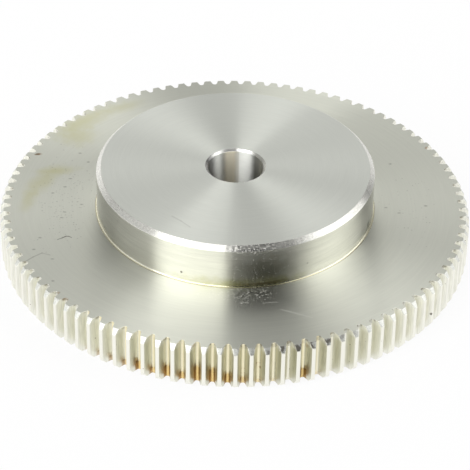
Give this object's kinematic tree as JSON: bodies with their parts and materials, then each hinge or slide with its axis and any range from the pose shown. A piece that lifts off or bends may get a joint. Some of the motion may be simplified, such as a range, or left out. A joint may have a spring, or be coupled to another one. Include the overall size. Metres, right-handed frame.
{
  "type": "spur gear",
  "caption": "Steel spur gear with straight involute teeth, a flat disc, a round hub on one side and a plain bore for a shaft.",
  "frame": {"origin": "on the axis of the bore, at the plain face that the gear lies on", "axes": "+Z along the bore, from the plain face towards the hub; +X through the middle of one tooth"},
  "size_m": [0.102, 0.102, 0.02],
  "materials": {
    "turned_steel": "bare turned and hobbed steel"
  },
  "bodies": {
    "root": {"spur_gear": "turned_steel"}
  },
  "joints": []
}
